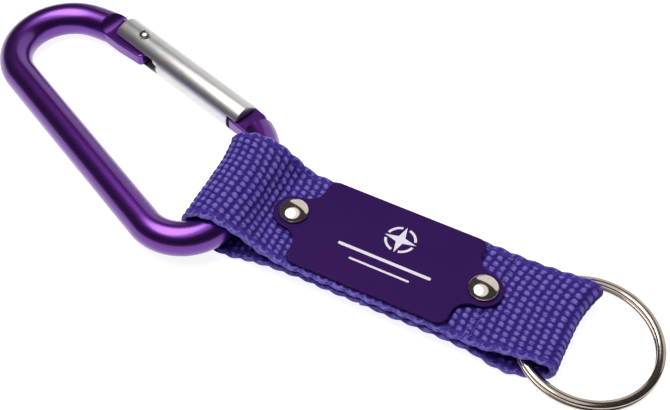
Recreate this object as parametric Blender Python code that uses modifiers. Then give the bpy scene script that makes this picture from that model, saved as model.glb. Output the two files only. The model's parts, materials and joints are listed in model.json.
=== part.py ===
"""Carabiner keyring, in metres, +Z up, lying flat.

The carabiner lies at -X, the split ring at +X. A loop of webbing joins them, and carries a
name plate held by two cap rivets. The origin is under the middle of the whole object.
"""
import math

import bmesh
import bpy
from mathutils import Matrix, Vector

MM = 0.001

# Webbing
WEB_WIDTH = 20.0 * MM
MIDDLE_BOTTOM_Z = 2.25 * MM
MIDDLE_TOP_Z = 4.85 * MM
FLEX_RANGE_CLEARANCE = 0.4 * MM
MIDDLE_EASE = 0.5 * MM

# Loop round the carabiner: the fold is a half circle, open wide enough for the bar to turn in
BAR_X = -27.85 * MM
SWING_X = -28.6 * MM
LOOP_A_FOLD_X = -30.1 * MM
LOOP_A_RADIUS = 4.8 * MM
LOOP_A_CAVITY_RADIUS = 3.6 * MM
LOOP_A_NECK = ((-25.4 * MM, 0.0), (-23.8 * MM, 1.2 * MM), (-22.9 * MM, 2.8 * MM),
               (-22.9 * MM, 4.8 * MM), (-23.2 * MM, 6.6 * MM), (-26.2 * MM, 9.6 * MM))
LOOP_A_CAVITY_NECK = ((-26.0 * MM, 1.2 * MM), (-24.0 * MM, 2.7 * MM), (-24.0 * MM, 6.0 * MM),
                      (-26.5 * MM, 8.4 * MM))
FLEX_A = (-22.6 * MM, 3.8 * MM)

# Loop round the ring
LOOP_B_FOLD_X = 32.5 * MM
LOOP_B_RADIUS = 2.65 * MM
LOOP_B_CAVITY_RADIUS = 1.35 * MM
LOOP_B_CAVITY_START_X = 23.2 * MM
LOOP_B_NECK = ((24.2 * MM, 5.3 * MM), (23.3 * MM, 4.9 * MM), (22.6 * MM, 3.9 * MM),
               (22.6 * MM, 2.5 * MM), (23.3 * MM, 0.6 * MM), (24.2 * MM, 0.0))
FLEX_B = (22.3 * MM, 3.2 * MM)

# Carabiner body: a bent rod, drawn in its own plane with the middle of the bar as its origin
ROD_RADIUS = 3.0 * MM
SPINE_ANGLE = math.radians(-27.7)
SPINE_DISTANCE = 16.85 * MM
HEEL_RADIUS = 8.0 * MM
HEEL_X = -7.6 * MM
NOSE_RADIUS = 10.0 * MM
NOSE_START = math.radians(18.4)
CROWN_RADIUS = 9.7 * MM
CROWN_X = -45.3 * MM
CROWN_END = math.radians(93.0)
SHOULDER_RADIUS = 30.0 * MM
SHOULDER_END = math.radians(85.0)

# Gate, drawn along its own axis with the hinge pin as its origin
PIN_X = -33.2 * MM
PIN_Y = 23.9 * MM
GATE_ANGLE = math.radians(-18.0)
GATE_RADIUS = 3.0 * MM
GATE_END = 27.3 * MM
GATE_START = -5.6 * MM
GATE_SLOT_END = 6.0 * MM
GATE_SLOT_FLOOR = 2.2 * MM
GATE_BORE_RADIUS = 1.6 * MM
GATE_BORE_END = 16.0 * MM
GATE_BORE_Y = -0.9 * MM
GATE_CHAMFER = 0.25 * MM
SLOT_HALF = 1.5 * MM
NOSE_SLOT_START = 25.0 * MM

# Flat tangs left where the rod is milled away
TANG_HALF = 1.2 * MM
TANG_TIP = 2.3 * MM
TANG_ROOT = -9.5 * MM
TANG_ROOT_LOW = -3.8 * MM
TANG_ROOT_HIGH = 0.9 * MM
TANG_LOW = -4.0 * MM
TANG_TIP_LOW = -3.6 * MM
TANG_FLAT = (-7.0 * MM, -3.4 * MM)
TANG_CORNER_RADIUS = 0.8 * MM
TANG_OUTER_RADIUS = 1.9 * MM
TONGUE_TIP = 25.3 * MM
TONGUE_SHOULDER = 29.6 * MM
TONGUE_ROOT = 32.0 * MM
TONGUE_HALF_WIDTH = 2.8 * MM
TONGUE_SHOULDER_HIGH = 2.55 * MM
TONGUE_ROOT_LOW = -3.0 * MM
TONGUE_ROOT_HIGH = 1.5 * MM
TONGUE_CORNER_RADIUS = 0.6 * MM

PIN_RADIUS = 0.75 * MM
PIN_HEAD_RADIUS = 1.1 * MM
PIN_HOLE_RADIUS = 1.05 * MM
PIN_HEAD_Z = 3.15 * MM
PIN_HEAD_HEIGHT = 0.6 * MM

PLUNGER_START = 2.9 * MM
PLUNGER_END = 8.2 * MM
PLUNGER_RADIUS = 1.25 * MM
PLUNGER_NOSE_HEIGHT = 1.8 * MM
SPRING_START = 8.7 * MM
SPRING_END = 15.5 * MM
SPRING_COIL_RADIUS = 1.05 * MM
SPRING_WIRE_RADIUS = 0.18 * MM
SPRING_TURNS = 6
SPRING_STEPS_PER_TURN = 10

# Name plate and its rivets
PLATE_LENGTH = 29.3 * MM
PLATE_WIDTH = 18.9 * MM
PLATE_BOTTOM_Z = 5.0 * MM
PLATE_THICKNESS = 0.7 * MM
PLATE_CORNER_RADIUS = 1.6 * MM
EAR_RADIUS = 3.5 * MM
EAR_FILLET_RADIUS = 3.2 * MM
RIVET_SPACING = 35.0 * MM
RIVET_HOLE_RADIUS = 1.5 * MM
RIVET_POST_RADIUS = 1.2 * MM
RIVET_CAP_RADIUS = 2.65 * MM
RIVET_CAP_HEIGHT = 1.25 * MM
RIVET_CAP_GAP = 0.15 * MM
RIVET_SOCKET_DEPTH = 0.69 * MM
RIVET_POST_GAP = 0.2 * MM
RIVET_BACK_GAP = 0.1 * MM
RIVET_BACK_HEIGHT = 1.1 * MM

# Split ring: a flat wire wound nearly two turns
RING_MEAN_RADIUS = 11.9 * MM
RING_WIRE_WIDTH = 1.5 * MM
RING_WIRE_HEIGHT = 0.85 * MM
RING_TURN_GAP = 0.15 * MM
RING_STEP_HALF_ANGLE = math.radians(22.0)
RING_STEP_PLACE = math.radians(180.0)
RING_STEPS = 112
RING_SECTION_POINTS = 12
RING_SECTION_POWER = 0.6
RING_CENTRE_X = 36.2 * MM
RING_CENTRE_Y = 0.8 * MM
RING_TILT = math.radians(4.6)
RING_FLOOR_GAP = 0.03 * MM

OBJECT_NAME = "carabiner_keyring"


# ---------------------------------------------------------------- scene and materials

def clear_scene():
    for item in list(bpy.data.objects):
        bpy.data.objects.remove(item, do_unlink=True)


def make_collection(name):
    collection = bpy.data.collections.new(name)
    bpy.context.scene.collection.children.link(collection)
    return collection


def make_material(name, colour, roughness, metallic):
    material = bpy.data.materials.new(name)
    material.use_nodes = True
    shader = material.node_tree.nodes["Principled BSDF"]
    shader.inputs["Base Color"].default_value = (*colour, 1.0)
    shader.inputs["Roughness"].default_value = roughness
    shader.inputs["Metallic"].default_value = metallic
    material.diffuse_color = (*colour, 1.0)
    return material


def make_materials():
    return {
        "body": make_material("anodised_purple", (0.12, 0.03, 0.30), 0.25, 0.9),
        "gate": make_material("satin_aluminium", (0.78, 0.78, 0.80), 0.35, 1.0),
        "pin": make_material("pin_steel", (0.45, 0.44, 0.42), 0.25, 1.0),
        "plunger": make_material("plunger_steel", (0.50, 0.49, 0.47), 0.35, 1.0),
        "spring": make_material("spring_steel", (0.35, 0.35, 0.36), 0.35, 1.0),
        "web": make_material("purple_webbing", (0.06, 0.03, 0.25), 0.85, 0.0),
        "plate": make_material("anodised_plate", (0.045, 0.012, 0.12), 0.4, 0.8),
        "rivet": make_material("nickel_rivet", (0.72, 0.68, 0.62), 0.12, 1.0),
        "ring": make_material("nickel_ring", (0.70, 0.67, 0.62), 0.15, 1.0),
    }


# ---------------------------------------------------------------- general modelling helpers

def make_object(name, data, collection, parent=None, location=(0.0, 0.0, 0.0)):
    item = bpy.data.objects.new(name, data)
    collection.objects.link(item)
    item.parent = parent
    item.location = location
    return item


def make_frame(name, collection, parent, location, rotation=(0.0, 0.0, 0.0)):
    frame = make_object(name, None, collection, parent, location)
    frame.rotation_euler = rotation
    frame.empty_display_size = 5.0 * MM
    return frame


def arc(centre, radius, start, end, steps):
    """Points of an arc, both ends included, with angles in radians."""
    points = []
    for step in range(steps + 1):
        angle = start + (end - start) * step / steps
        points.append((centre[0] + radius * math.cos(angle),
                       centre[1] + radius * math.sin(angle)))
    return points


def smooth_shade(item, angle=math.radians(40.0)):
    item.data.shade_smooth()
    item.data.set_sharp_from_angle(angle=angle)


def curve_to_mesh(item):
    """Replace a curve object with a closed mesh object of the same name and place."""
    bpy.context.view_layer.update()
    depsgraph = bpy.context.evaluated_depsgraph_get()
    mesh = bpy.data.meshes.new_from_object(item.evaluated_get(depsgraph))
    name, parent, local = item.name, item.parent, item.matrix_local.copy()
    collection = item.users_collection[0]
    bpy.data.objects.remove(item, do_unlink=True)
    work = bmesh.new()
    work.from_mesh(mesh)
    bmesh.ops.remove_doubles(work, verts=work.verts, dist=1e-6)
    bmesh.ops.recalc_face_normals(work, faces=work.faces)
    work.to_mesh(mesh)
    work.free()
    solid = make_object(name, mesh, collection, parent)
    solid.matrix_local = local
    return solid


def make_tube(name, points, radius, collection, parent, resolution):
    curve = bpy.data.curves.new(name, "CURVE")
    curve.dimensions = "3D"
    curve.bevel_depth = radius
    curve.bevel_resolution = resolution
    curve.use_fill_caps = True
    spline = curve.splines.new("POLY")
    spline.points.add(len(points) - 1)
    for point, place in zip(spline.points, points):
        point.co = (*place, 1.0)
    return make_object(name, curve, collection, parent)


def make_prism(name, outline, half_depth, collection, parent, holes=()):
    """A flat outline in XY, extruded to both sides of its plane, as a mesh."""
    curve = bpy.data.curves.new(name, "CURVE")
    curve.dimensions = "2D"
    curve.fill_mode = "BOTH"
    curve.extrude = half_depth
    for loop in (outline, *holes):
        spline = curve.splines.new("POLY")
        spline.points.add(len(loop) - 1)
        for point, place in zip(spline.points, loop):
            point.co = (place[0], place[1], 0.0, 1.0)
        spline.use_cyclic_u = True
    return curve_to_mesh(make_object(name, curve, collection, parent))


def make_turned(name, profile, collection, parent, steps=24):
    """A solid of revolution about Z from (radius, z) points that run from top to bottom."""
    mesh = bpy.data.meshes.new(name)
    work = bmesh.new()
    corners = [work.verts.new((radius, 0.0, z)) for radius, z in profile]
    for first, second in zip(corners, corners[1:]):
        work.edges.new((first, second))
    work.to_mesh(mesh)
    work.free()
    item = make_object(name, mesh, collection, parent)
    screw = item.modifiers.new("turn", "SCREW")
    screw.steps = steps
    screw.render_steps = steps
    screw.use_merge_vertices = True
    screw.merge_threshold = 1e-6
    return item


def make_box(name, low, high, collection, parent):
    mesh = bpy.data.meshes.new(name)
    work = bmesh.new()
    bmesh.ops.create_cube(work, size=1.0)
    low, high = Vector(low), Vector(high)
    for vertex in work.verts:
        for axis in range(3):
            middle = (low[axis] + high[axis]) / 2
            vertex.co[axis] = middle + vertex.co[axis] * (high[axis] - low[axis])
    work.to_mesh(mesh)
    work.free()
    return make_object(name, mesh, collection, parent)


def make_cylinder(name, radius, start, end, axis, collection, parent, segments=24, chamfer=0.0):
    """A cylinder from start to end along local X or Z."""
    mesh = bpy.data.meshes.new(name)
    work = bmesh.new()
    bmesh.ops.create_cone(work, cap_ends=True, segments=segments, radius1=radius,
                          radius2=radius, depth=end - start)
    if chamfer:
        rims = [edge for edge in work.edges
                if any(len(face.verts) > 4 for face in edge.link_faces)]
        bmesh.ops.bevel(work, geom=rims, offset=chamfer, segments=1, affect="EDGES")
    turn = Matrix.Rotation(math.radians(90.0), 4, "Y") if axis == "X" else Matrix.Identity(4)
    along = (1.0, 0.0, 0.0) if axis == "X" else (0.0, 0.0, 1.0)
    shift = Matrix.Translation(Vector(along) * (start + end) / 2)
    bmesh.ops.transform(work, matrix=shift @ turn, verts=work.verts)
    work.to_mesh(mesh)
    work.free()
    return make_object(name, mesh, collection, parent)


def boolean(item, other, operation, cutters):
    """Join another object to this one, or cut it away. The other becomes a hidden guide."""
    modifier = item.modifiers.new(other.name, "BOOLEAN")
    modifier.operation = operation
    modifier.solver = "EXACT"
    modifier.object = other
    for collection in list(other.users_collection):
        collection.objects.unlink(other)
    cutters.objects.link(other)
    other.hide_render = True
    other.display_type = "WIRE"


# ---------------------------------------------------------------- carabiner

def rod_centre_line():
    """Centre line of the bent rod, from the nose round the heel and the crown to the hinge."""
    spine_normal = (-math.sin(SPINE_ANGLE), math.cos(SPINE_ANGLE))
    gate_normal = (-math.sin(GATE_ANGLE), math.cos(GATE_ANGLE))
    nose_x = -NOSE_RADIUS
    nose_y = PIN_Y - (NOSE_RADIUS + gate_normal[0] * (nose_x - PIN_X)) / gate_normal[1]
    heel_y = (HEEL_RADIUS - SPINE_DISTANCE - spine_normal[0] * HEEL_X) / spine_normal[1]
    crown_y = (CROWN_RADIUS - SPINE_DISTANCE - spine_normal[0] * CROWN_X) / spine_normal[1]
    right_angle = math.radians(90.0)
    nose = arc((nose_x, nose_y), NOSE_RADIUS, GATE_ANGLE + right_angle - NOSE_START, 0.0, 9)
    heel = arc((HEEL_X, heel_y), HEEL_RADIUS, 0.0, SPINE_ANGLE - right_angle, 16)
    crown = arc((CROWN_X, crown_y), CROWN_RADIUS, SPINE_ANGLE + 3 * right_angle, CROWN_END, 21)
    offset = CROWN_RADIUS - SHOULDER_RADIUS
    shoulder_centre = (CROWN_X + offset * math.cos(CROWN_END),
                       crown_y + offset * math.sin(CROWN_END))
    shoulder = arc(shoulder_centre, SHOULDER_RADIUS, CROWN_END, SHOULDER_END, 4)
    return nose + heel + crown + shoulder[1:]


def tang_outline():
    """Flat hinge tang, along the gate's axis, with the pin at the origin."""
    low = [(TANG_ROOT, TANG_ROOT_LOW), (TANG_FLAT[0], TANG_LOW), (TANG_FLAT[1], TANG_LOW)]
    tip = arc((TANG_TIP - TANG_CORNER_RADIUS, TANG_TIP_LOW + TANG_CORNER_RADIUS),
              TANG_CORNER_RADIUS, math.radians(-80.0), 0.0, 4)
    nose = arc((0.0, 0.0), TANG_TIP, math.radians(-15.0), math.radians(25.0), 3)
    outer = arc((0.0, 0.0), TANG_OUTER_RADIUS, math.radians(50.0), math.radians(90.0), 3)
    return low + tip + nose + outer + [(TANG_ROOT, TANG_ROOT_HIGH)]


def tongue_outline():
    """Flat nose tongue, along the gate's axis, that the gate's end slot straddles."""
    centre_x = TONGUE_TIP + TONGUE_CORNER_RADIUS
    centre_y = TONGUE_HALF_WIDTH - TONGUE_CORNER_RADIUS
    high = arc((centre_x, centre_y), TONGUE_CORNER_RADIUS, math.radians(90.0),
               math.radians(180.0), 3)
    low = arc((centre_x, -centre_y), TONGUE_CORNER_RADIUS, math.radians(180.0),
              math.radians(270.0), 3)
    root = [(TONGUE_ROOT, TONGUE_ROOT_LOW), (TONGUE_ROOT, TONGUE_ROOT_HIGH)]
    return high + low + root + [(TONGUE_SHOULDER, TONGUE_SHOULDER_HIGH)]


def make_carabiner_body(parts, cutters, plane, gate_frame, material):
    line = [(x, y, 0.0) for x, y in rod_centre_line()]
    body = curve_to_mesh(make_tube("carabiner_body", line, ROD_RADIUS, parts, plane, 6))
    tang = make_prism("tang", tang_outline(), TANG_HALF, parts, gate_frame)
    tongue = make_prism("tongue", tongue_outline(), TANG_HALF, parts, gate_frame)
    hole = make_cylinder("tang_hole", PIN_HOLE_RADIUS, -2 * TANG_HALF, 2 * TANG_HALF, "Z",
                         cutters, gate_frame)
    boolean(body, tang, "UNION", cutters)
    boolean(body, tongue, "UNION", cutters)
    boolean(body, hole, "DIFFERENCE", cutters)
    smooth_shade(body)
    body.data.materials.append(material)


def make_gate(parts, cutters, gate_frame, material):
    gate = make_cylinder("gate", GATE_RADIUS, GATE_START, GATE_END, "X", parts, gate_frame,
                         32, GATE_CHAMFER)
    reach = 2 * GATE_RADIUS
    slot = make_box("hinge_slot", (GATE_START - reach, -reach, -SLOT_HALF),
                    (GATE_SLOT_END, GATE_SLOT_FLOOR, SLOT_HALF), parts, gate_frame)
    bore = make_cylinder("spring_bore", GATE_BORE_RADIUS, GATE_SLOT_END - GATE_BORE_RADIUS,
                         GATE_BORE_END, "X", parts, gate_frame)
    bore.location = (0.0, GATE_BORE_Y, 0.0)
    nose_slot = make_box("nose_slot", (NOSE_SLOT_START, -reach, -SLOT_HALF),
                         (GATE_END + reach, reach, SLOT_HALF), parts, gate_frame)
    hole = make_cylinder("gate_hole", PIN_HOLE_RADIUS, -reach, reach, "Z", parts, gate_frame)
    for cutter in (slot, bore, nose_slot, hole):
        boolean(gate, cutter, "DIFFERENCE", cutters)
    smooth_shade(gate)
    gate.data.materials.append(material)


def dome_profile(radius, base_z, height, steps=5):
    """(radius, z) points of a shallow dome, from its top to its rim."""
    points = []
    for step in range(steps + 1):
        angle = math.radians(90.0) * (1 - step / steps)
        points.append((radius * math.cos(angle), base_z + height * math.sin(angle)))
    points[0] = (0.0, base_z + height)
    return points


def make_gate_pin(parts, gate_frame, material):
    head = dome_profile(PIN_HEAD_RADIUS, PIN_HEAD_Z, PIN_HEAD_HEIGHT)
    shaft = [(PIN_RADIUS, PIN_HEAD_Z), (PIN_RADIUS, -PIN_HEAD_Z)]
    foot = [(radius, -z) for radius, z in reversed(head)]
    pin = make_turned("gate_pin", head + shaft + foot, parts, gate_frame)
    smooth_shade(pin)
    pin.data.materials.append(material)


def make_plunger(parts, gate_frame, material):
    """Round-nosed pusher that the spring holds against the tang, to one side of the pin."""
    length = PLUNGER_END - PLUNGER_START
    profile = dome_profile(PLUNGER_RADIUS, length - PLUNGER_NOSE_HEIGHT, PLUNGER_NOSE_HEIGHT)
    profile += [(PLUNGER_RADIUS, 0.0), (0.0, 0.0)]
    plunger = make_turned("gate_plunger", profile, parts, gate_frame)
    plunger.location = (PLUNGER_END, GATE_BORE_Y, 0.0)
    plunger.rotation_euler = (0.0, math.radians(-90.0), 0.0)
    smooth_shade(plunger)
    plunger.data.materials.append(material)


def make_spring(parts, gate_frame, material):
    """Compression spring behind the plunger, wound along the bore."""
    count = SPRING_TURNS * SPRING_STEPS_PER_TURN
    points = []
    for step in range(count + 1):
        angle = 2 * math.pi * step / SPRING_STEPS_PER_TURN
        along = SPRING_START + (SPRING_END - SPRING_START) * step / count
        points.append((along, GATE_BORE_Y + SPRING_COIL_RADIUS * math.cos(angle),
                       SPRING_COIL_RADIUS * math.sin(angle)))
    spring = make_tube("gate_spring", points, SPRING_WIRE_RADIUS, parts, gate_frame, 1)
    spring.data.materials.append(material)


# ---------------------------------------------------------------- webbing

def make_web_solid(name, outline, parts, cutters, frame, offset, material, cavity=None):
    """A side outline in XZ, extruded across the webbing's width."""
    shift = [(x - offset[0], z - offset[1]) for x, z in outline]
    solid = make_prism(name, shift, WEB_WIDTH / 2, parts, frame)
    solid.rotation_euler = (math.radians(90.0), 0.0, 0.0)
    if cavity:
        shift = [(x - offset[0], z - offset[1]) for x, z in cavity]
        core = make_prism(name + "_cavity", shift, WEB_WIDTH, parts, frame)
        core.rotation_euler = (math.radians(90.0), 0.0, 0.0)
        boolean(solid, core, "DIFFERENCE", cutters)
    solid.data.materials.append(material)
    return solid


def loop_a_outlines():
    """Side outline and cavity of the loop round the bar."""
    centre = (LOOP_A_FOLD_X, LOOP_A_RADIUS)
    quarter = math.radians(90.0)
    outer = arc(centre, LOOP_A_RADIUS, quarter, 3 * quarter, 14)
    cavity = arc(centre, LOOP_A_CAVITY_RADIUS, quarter, 3 * quarter, 12)
    return outer + list(LOOP_A_NECK), cavity + list(LOOP_A_CAVITY_NECK)


def loop_b_outlines():
    """Side outline and cavity of the loop round the split ring."""
    centre = (LOOP_B_FOLD_X, LOOP_B_RADIUS)
    quarter = math.radians(90.0)
    outer = arc(centre, LOOP_B_RADIUS, -quarter, quarter, 12)
    cavity = arc(centre, LOOP_B_CAVITY_RADIUS, -quarter, quarter, 10)
    cavity += [(LOOP_B_CAVITY_START_X, LOOP_B_RADIUS + LOOP_B_CAVITY_RADIUS),
               (LOOP_B_CAVITY_START_X, LOOP_B_RADIUS - LOOP_B_CAVITY_RADIUS)]
    return outer + list(LOOP_B_NECK), cavity


def middle_outline():
    """Side outline of the two layers under the plate, with both ends eased for flexing."""
    left = FLEX_A[0] + FLEX_RANGE_CLEARANCE
    right = FLEX_B[0] - FLEX_RANGE_CLEARANCE
    low, high, ease = MIDDLE_BOTTOM_Z, MIDDLE_TOP_Z, MIDDLE_EASE
    return [(left + ease, low), (right - ease, low), (right, low + ease),
            (right, high - ease), (right - ease, high), (left + ease, high),
            (left, high - ease), (left, low + ease)]


def make_webbing(parts, cutters, frames, material):
    outer, cavity = loop_a_outlines()
    swing = (SWING_X, LOOP_A_RADIUS)
    loop_a = make_web_solid("strap_carabiner_loop", outer, parts, cutters, frames["swing"],
                            swing, material, cavity)
    middle = make_web_solid("strap_middle", middle_outline(), parts, cutters, frames["flex_a"],
                            FLEX_A, material)
    outer, cavity = loop_b_outlines()
    loop_b = make_web_solid("strap_ring_loop", outer, parts, cutters, frames["flex_b"],
                            FLEX_B, material, cavity)
    for side in (-1, 1):
        hole = make_cylinder("strap_hole", RIVET_HOLE_RADIUS, -WEB_WIDTH, WEB_WIDTH, "Z", parts,
                             frames["flex_a"])
        hole.location = (side * RIVET_SPACING / 2 - FLEX_A[0], 0.0, 0.0)
        boolean(middle, hole, "DIFFERENCE", cutters)
    for item in (loop_a, middle, loop_b):
        smooth_shade(item, math.radians(25.0))


# ---------------------------------------------------------------- plate and rivets

def plate_quarter():
    """Outline of the plate's +X +Y quarter, from the ear's tip round to the long edge."""
    half_length = PLATE_LENGTH / 2
    half_width = PLATE_WIDTH / 2
    ear_x = RIVET_SPACING / 2
    fillet_x = half_length + EAR_FILLET_RADIUS
    spread = math.acos((fillet_x - ear_x) / (EAR_RADIUS + EAR_FILLET_RADIUS))
    fillet_y = (EAR_RADIUS + EAR_FILLET_RADIUS) * math.sin(spread)
    ear = arc((ear_x, 0.0), EAR_RADIUS, 0.0, spread, 8)
    fillet = arc((fillet_x, fillet_y), EAR_FILLET_RADIUS, spread + math.pi, math.pi, 5)
    corner = arc((half_length - PLATE_CORNER_RADIUS, half_width - PLATE_CORNER_RADIUS),
                 PLATE_CORNER_RADIUS, 0.0, math.radians(90.0), 5)
    return ear + fillet[1:] + corner


def plate_outline():
    quarter = plate_quarter()
    left = [(-x, y) for x, y in reversed(quarter)]
    half = quarter + left
    return half[:-1] + [(x, -y) for x, y in reversed(half)][:-1]


def make_plate(parts, frame, material):
    holes = [arc((side * RIVET_SPACING / 2, 0.0), RIVET_HOLE_RADIUS, 0.0,
                 math.radians(345.0), 23) for side in (-1, 1)]
    plate = make_prism("plate", plate_outline(), PLATE_THICKNESS / 2, parts, frame, holes)
    plate.location = (-FLEX_A[0], 0.0, PLATE_BOTTOM_Z + PLATE_THICKNESS / 2 - FLEX_A[1])
    smooth_shade(plate, math.radians(30.0))
    plate.data.materials.append(material)


def make_rivet(side_name, side, parts, frame, material):
    """A domed cap above the plate, and a post that reaches it from under the webbing."""
    centre = (side * RIVET_SPACING / 2 - FLEX_A[0], 0.0, -FLEX_A[1])
    cap_z = PLATE_BOTTOM_Z + PLATE_THICKNESS + RIVET_CAP_GAP
    socket_top = cap_z + RIVET_SOCKET_DEPTH
    profile = dome_profile(RIVET_CAP_RADIUS, cap_z, RIVET_CAP_HEIGHT, 6)
    profile += [(RIVET_HOLE_RADIUS, cap_z), (RIVET_HOLE_RADIUS, socket_top), (0.0, socket_top)]
    cap = make_turned(side_name + "_rivet_cap", profile, parts, frame)
    post_top = socket_top - RIVET_POST_GAP
    back_z = MIDDLE_BOTTOM_Z - RIVET_BACK_GAP
    back = [(radius, back_z - height) for radius, height
            in reversed(dome_profile(RIVET_CAP_RADIUS, 0.0, RIVET_BACK_HEIGHT, 6))]
    profile = [(0.0, post_top), (RIVET_POST_RADIUS, post_top), (RIVET_POST_RADIUS, back_z)]
    post = make_turned(side_name + "_rivet_post", profile + back, parts, frame)
    for item in (cap, post):
        item.location = centre
        smooth_shade(item, math.radians(35.0))
        item.data.materials.append(material)


# ---------------------------------------------------------------- split ring

def ring_height(angle):
    """Height of the wire's middle at an angle along its winding: two flat turns and a step."""
    pitch = RING_WIRE_HEIGHT + RING_TURN_GAP
    full = 2 * math.pi
    progress = (angle - full + RING_STEP_HALF_ANGLE) / (2 * RING_STEP_HALF_ANGLE)
    progress = min(1.0, max(0.0, progress))
    ease = progress * progress * (3 - 2 * progress)
    return pitch * (ease - 0.5)


def rounded(value):
    """Push a sine or cosine outwards, which turns a circle into a rounded rectangle."""
    return math.copysign(abs(value) ** RING_SECTION_POWER, value)


def make_wire_section(cutters):
    """Section of the flattened ring wire, as a guide curve."""
    profile = bpy.data.curves.new("ring_wire_section", "CURVE")
    profile.dimensions = "2D"
    spline = profile.splines.new("POLY")
    spline.points.add(RING_SECTION_POINTS - 1)
    for step, point in enumerate(spline.points):
        angle = 2 * math.pi * step / RING_SECTION_POINTS
        point.co = (RING_WIRE_WIDTH / 2 * rounded(math.cos(angle)),
                    RING_WIRE_HEIGHT / 2 * rounded(math.sin(angle)), 0.0, 1.0)
    spline.use_cyclic_u = True
    guide = make_object("ring_wire_section", profile, cutters)
    guide.hide_render = True
    guide.display_type = "WIRE"
    return guide


def make_ring(parts, cutters, frame, material):
    start = RING_STEP_HALF_ANGLE
    end = 4 * math.pi - RING_STEP_HALF_ANGLE
    curve = bpy.data.curves.new("key_ring", "CURVE")
    curve.dimensions = "3D"
    curve.twist_mode = "Z_UP"
    curve.bevel_mode = "OBJECT"
    curve.bevel_object = make_wire_section(cutters)
    curve.use_fill_caps = True
    spline = curve.splines.new("POLY")
    spline.points.add(RING_STEPS)
    for step, point in enumerate(spline.points):
        angle = start + (end - start) * step / RING_STEPS
        place = angle + RING_STEP_PLACE
        point.co = (RING_MEAN_RADIUS * math.cos(place), RING_MEAN_RADIUS * math.sin(place),
                    ring_height(angle), 1.0)
    ring = curve_to_mesh(make_object("key_ring", curve, parts, frame))
    smooth_shade(ring)
    ring.data.materials.append(material)


# ---------------------------------------------------------------- assembly

def make_frames(parts, top):
    """One empty on each joint's axis, each a child of the one it moves with."""
    far_end = BAR_X + CROWN_X - CROWN_RADIUS
    tilt = math.asin((LOOP_A_RADIUS - ROD_RADIUS) / (SWING_X - far_end))
    frames = {}
    frames["plane"] = make_frame("carabiner_plane", parts, top, (SWING_X, 0.0, LOOP_A_RADIUS),
                                 (0.0, -tilt, 0.0))
    frames["rod"] = make_frame("rod_plane", parts, frames["plane"], (BAR_X - SWING_X, 0.0, 0.0))
    frames["gate"] = make_frame("gate_hinge", parts, frames["rod"], (PIN_X, PIN_Y, 0.0),
                                (0.0, 0.0, GATE_ANGLE))
    frames["swing"] = make_frame("loop_swing", parts, top, (SWING_X, 0.0, LOOP_A_RADIUS))
    frames["flex_a"] = make_frame("carabiner_end_flex", parts, frames["swing"],
                                  (FLEX_A[0] - SWING_X, 0.0, FLEX_A[1] - LOOP_A_RADIUS))
    frames["flex_b"] = make_frame("ring_end_flex", parts, frames["flex_a"],
                                  (FLEX_B[0] - FLEX_A[0], 0.0, FLEX_B[1] - FLEX_A[1]))
    half_stack = RING_WIRE_HEIGHT + RING_TURN_GAP / 2
    outer_radius = RING_MEAN_RADIUS + RING_WIRE_WIDTH / 2
    ring_z = (RING_FLOOR_GAP + half_stack * math.cos(RING_TILT)
              + outer_radius * math.sin(RING_TILT))
    frames["ring"] = make_frame("ring_turn", parts, frames["flex_b"],
                                (RING_CENTRE_X - FLEX_B[0], RING_CENTRE_Y, ring_z - FLEX_B[1]),
                                (0.0, RING_TILT, 0.0))
    return frames


def centre_on_origin(top, parts):
    """Move the whole object so that its box stands on the origin, centred."""
    bpy.context.view_layer.update()
    depsgraph = bpy.context.evaluated_depsgraph_get()
    corners = []
    for item in parts.objects:
        if item.type == "EMPTY":
            continue
        evaluated = item.evaluated_get(depsgraph)
        mesh = evaluated.to_mesh()
        corners += [evaluated.matrix_world @ vertex.co for vertex in mesh.vertices]
        evaluated.to_mesh_clear()
    low = [min(corner[axis] for corner in corners) for axis in range(3)]
    high = [max(corner[axis] for corner in corners) for axis in range(3)]
    top.location = (-(low[0] + high[0]) / 2, -(low[1] + high[1]) / 2, -low[2])
    bpy.context.view_layer.update()


def main():
    clear_scene()
    parts = make_collection(OBJECT_NAME)
    cutters = make_collection(OBJECT_NAME + "_cutters")
    materials = make_materials()
    top = make_frame("keyring_origin", parts, None, (0.0, 0.0, 0.0))
    frames = make_frames(parts, top)
    make_carabiner_body(parts, cutters, frames["rod"], frames["gate"], materials["body"])
    make_gate(parts, cutters, frames["gate"], materials["gate"])
    make_gate_pin(parts, frames["gate"], materials["pin"])
    make_plunger(parts, frames["gate"], materials["plunger"])
    make_spring(parts, frames["gate"], materials["spring"])
    make_webbing(parts, cutters, frames, materials["web"])
    make_plate(parts, frames["flex_a"], materials["plate"])
    make_rivet("left", -1, parts, frames["flex_a"], materials["rivet"])
    make_rivet("right", 1, parts, frames["flex_a"], materials["rivet"])
    make_ring(parts, cutters, frames["ring"], materials["ring"])
    centre_on_origin(top, parts)


main()
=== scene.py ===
"""Looks of the carabiner keyring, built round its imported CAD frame. Lengths are in metres."""
import json
import math
import random

import bmesh
import bpy
import numpy as np
from mathutils import Matrix, Vector


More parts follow.
